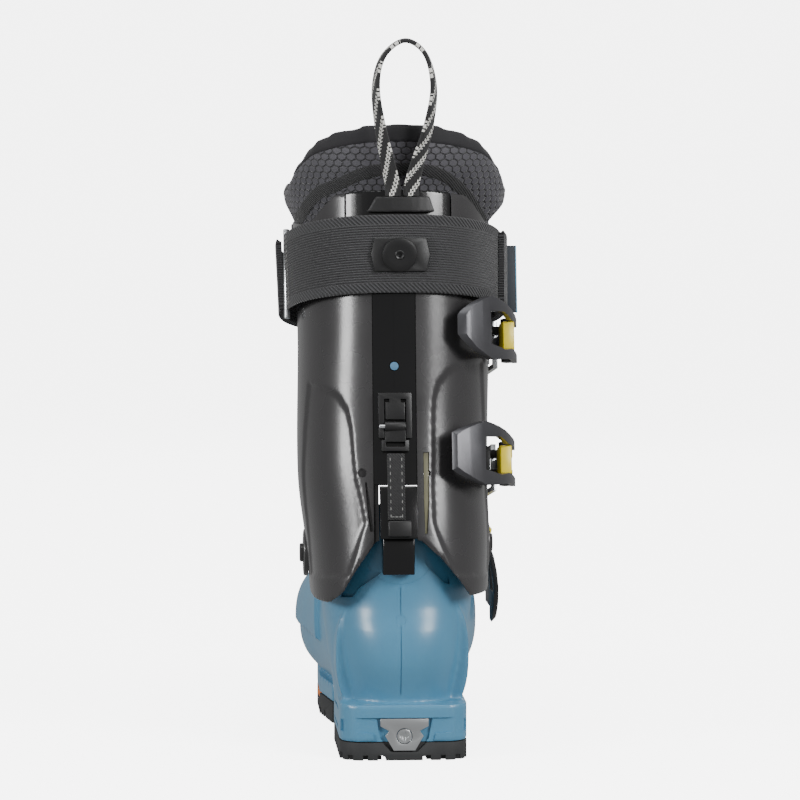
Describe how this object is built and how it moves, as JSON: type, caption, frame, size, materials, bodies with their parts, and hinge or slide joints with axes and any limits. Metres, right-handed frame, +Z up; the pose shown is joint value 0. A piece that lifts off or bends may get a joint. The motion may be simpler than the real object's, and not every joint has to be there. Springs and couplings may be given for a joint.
{
  "type": "ski boot",
  "caption": "Right-foot freeride ski boot: hinged cuff with a walk lever, removable liner, buckled overlap shell and rubber soles.",
  "frame": {"origin": "on the floor under the middle of the heel sole", "axes": "+X to the outer side of the right foot, +Y to the toe, +Z up"},
  "size_m": [0.1328, 0.3176, 0.3912],
  "materials": {
    "shell_blue": "satin steel-blue moulded plastic",
    "cuff_grey": "satin dark grey moulded plastic",
    "black_plastic": "matt black moulded plastic",
    "gloss_black": "glossy black plastic",
    "sole_rubber": "black lugged rubber",
    "accent_orange": "orange rubber-like insert",
    "steel": "bare steel",
    "buckle_metal": "dark grey coated aluminium",
    "adjuster_yellow": "yellow plastic",
    "liner_cloth": "dark grey embossed liner fabric",
    "webbing": "black woven webbing",
    "plug_blue": "blue plastic plug"
  },
  "bodies": {
    "shell": {"lower_shell": "shell_blue", "heel_sole": "sole_rubber", "toe_sole": "sole_rubber", "toe_sole_accent": "accent_orange", "heel_sole_screw_1": "steel", "heel_sole_screw_2": "steel", "toe_sole_screw_1": "steel", "toe_sole_screw_2": "steel", "toe_binding_insert": "steel", "heel_binding_plate": "steel", "heel_plate_screw": "steel", "boot_board": "black_plastic", "latch_block": "black_plastic", "latch_bar": "steel", "inner_pivot_bolt": "steel", "outer_pivot_bolt": "steel", "liner_foot": "liner_cloth", "footbed": "liner_cloth", "instep_buckle_base": "buckle_metal", "instep_buckle_ladder": "buckle_metal", "toe_buckle_base": "buckle_metal", "toe_buckle_ladder": "buckle_metal"},
    "cuff": {"cuff_shell": "cuff_grey", "cuff_spine": "black_plastic", "spine_plug": "plug_blue", "lever_frame": "black_plastic", "lever_axle": "steel", "latch_hood": "black_plastic", "inner_pivot_cap": "buckle_metal", "outer_pivot_cap": "buckle_metal", "liner_cuff": "liner_cloth", "liner_tongue": "liner_cloth", "spoiler": "gloss_black", "power_strap": "webbing", "strap_rod": "steel", "strap_front": "webbing", "strap_backing": "gloss_black", "strap_rivet": "gloss_black", "loop_tab": "sole_rubber", "pull_loop": "webbing", "lower_cuff_buckle_base": "buckle_metal", "lower_cuff_buckle_ladder": "buckle_metal", "upper_cuff_buckle_base": "buckle_metal", "upper_cuff_buckle_ladder": "buckle_metal"},
    "walk_lever": {"walk_lever": "black_plastic"},
    "lever_pull": {"lever_pull": "webbing", "lever_pull_tab": "black_plastic"},
    "lower_cuff_buckle_lever": {"lower_cuff_buckle_lever": "buckle_metal"},
    "lower_cuff_buckle_bail": {"lower_cuff_buckle_bail": "steel", "lower_cuff_buckle_adjuster": "adjuster_yellow"},
    "upper_cuff_buckle_lever": {"upper_cuff_buckle_lever": "buckle_metal"},
    "upper_cuff_buckle_bail": {"upper_cuff_buckle_bail": "steel", "upper_cuff_buckle_adjuster": "adjuster_yellow"},
    "instep_buckle_lever": {"instep_buckle_lever": "buckle_metal"},
    "instep_buckle_bail": {"instep_buckle_bail": "steel", "instep_buckle_adjuster": "adjuster_yellow"},
    "toe_buckle_lever": {"toe_buckle_lever": "buckle_metal"},
    "toe_buckle_bail": {"toe_buckle_bail": "steel", "toe_buckle_adjuster": "adjuster_yellow"}
  },
  "joints": [
    {"name": "cuff_pivot", "type": "hinge", "parent": "shell", "child": "cuff", "pos_m": [0, 0.03, 0.108], "axis": [0.9987, 0, 0.051], "range_deg": [-16, 18]},
    {"name": "walk_lever_hinge", "type": "hinge", "parent": "cuff", "child": "walk_lever", "pos_m": [-0.0046, -0.03266, 0.18], "axis": [-1, 0, 0], "range_deg": [0, 95]},
    {"name": "lever_pull_hinge", "type": "hinge", "parent": "walk_lever", "child": "lever_pull", "pos_m": [-0.0046, -0.03806, 0.1658], "axis": [-1, 0, 0], "range_deg": [0, 80]},
    {"name": "lower_cuff_buckle_lever_hinge", "type": "hinge", "parent": "cuff", "child": "lower_cuff_buckle_lever", "pos_m": [0.05878, 0.01331, 0.15547], "axis": [0, 0.225, 0.9744], "range_deg": [0, 110]},
    {"name": "lower_cuff_buckle_bail_hinge", "type": "hinge", "parent": "lower_cuff_buckle_lever", "child": "lower_cuff_buckle_bail", "pos_m": [0.05699, 0.00197, 0.15809], "axis": [0, 0.225, 0.9744], "range_deg": [-110, 0]},
    {"name": "upper_cuff_buckle_lever_hinge", "type": "hinge", "parent": "cuff", "child": "upper_cuff_buckle_lever", "pos_m": [0.0609, 0.02808, 0.22236], "axis": [0, 0.225, 0.9744], "range_deg": [0, 110]},
    {"name": "upper_cuff_buckle_bail_hinge", "type": "hinge", "parent": "upper_cuff_buckle_lever", "child": "upper_cuff_buckle_bail", "pos_m": [0.05934, 0.01676, 0.22498], "axis": [0, 0.225, 0.9744], "range_deg": [-110, 0]},
    {"name": "instep_buckle_lever_hinge", "type": "hinge", "parent": "shell", "child": "instep_buckle_lever", "pos_m": [0.0429, 0.116, 0.11305], "axis": [0, -1, 0], "range_deg": [0, 110]},
    {"name": "instep_buckle_bail_hinge", "type": "hinge", "parent": "instep_buckle_lever", "child": "instep_buckle_bail", "pos_m": [0.05245, 0.116, 0.10812], "axis": [0, -1, 0], "range_deg": [-110, 0]},
    {"name": "toe_buckle_lever_hinge", "type": "hinge", "parent": "shell", "child": "toe_buckle_lever", "pos_m": [0.04375, 0.178, 0.0992], "axis": [0, -1, 0], "range_deg": [0, 110]},
    {"name": "toe_buckle_bail_hinge", "type": "hinge", "parent": "toe_buckle_lever", "child": "toe_buckle_bail", "pos_m": [0.05386, 0.178, 0.09526], "axis": [0, -1, 0], "range_deg": [-110, 0]}
  ],
  "couplings": [
    {"joint": "lower_cuff_buckle_bail_hinge", "follows": "lower_cuff_buckle_lever_hinge", "ratio": -1},
    {"joint": "upper_cuff_buckle_bail_hinge", "follows": "upper_cuff_buckle_lever_hinge", "ratio": -1},
    {"joint": "instep_buckle_bail_hinge", "follows": "instep_buckle_lever_hinge", "ratio": -1},
    {"joint": "toe_buckle_bail_hinge", "follows": "toe_buckle_lever_hinge", "ratio": -1}
  ]
}
